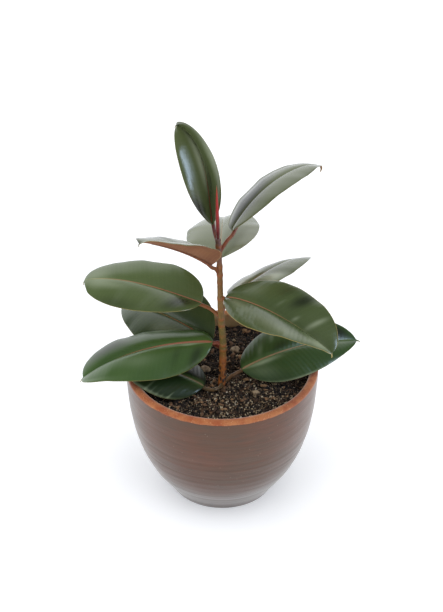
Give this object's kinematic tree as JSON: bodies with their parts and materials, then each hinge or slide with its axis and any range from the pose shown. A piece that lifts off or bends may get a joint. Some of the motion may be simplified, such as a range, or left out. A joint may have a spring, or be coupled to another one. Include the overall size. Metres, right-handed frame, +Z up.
{
  "type": "potted rubber plant",
  "caption": "Young rubber plant with large dark glossy leaves on a slim woody stem, growing in a bowl-shaped terracotta pot filled with potting soil.",
  "frame": {"origin": "middle of the flat round base that the pot stands on", "axes": "+Z up along the pot's own axis; the side that the picture shows faces -Y, with +X to its right"},
  "size_m": [0.3221, 0.243, 0.4696],
  "materials": {
    "clay": "satin brown fired clay, bare orange terracotta at the rim",
    "soil": "dark crumbly bark and peat mix with pale grit",
    "stone": "matte pale pebble",
    "bark": "smooth tan young bark with ring scars",
    "bud": "glossy bright red leaf sheath",
    "leaf": "glossy dark green upper face, matte red-brown under face",
    "stalk": "smooth red-brown leaf stalk and midrib"
  },
  "bodies": {
    "root": {"pot": "clay", "soil": "soil", "pebble_1": "stone", "pebble_2": "stone", "pebble_3": "stone", "stem": "bark", "bud": "bud", "leaf_a": "leaf", "leaf_b": "leaf", "leaf_c": "leaf", "leaf_d": "leaf", "leaf_e": "leaf", "leaf_f": "leaf", "leaf_g": "leaf", "leaf_h": "leaf", "leaf_i": "leaf", "leaf_j": "leaf", "leaf_k": "leaf", "stalk_a": "stalk", "stalk_b": "stalk", "stalk_c": "stalk", "stalk_d": "stalk", "stalk_e": "stalk", "stalk_f": "stalk", "stalk_g": "stalk", "stalk_h": "stalk", "stalk_i": "stalk", "stalk_j": "stalk", "stalk_k": "stalk"}
  },
  "joints": []
}
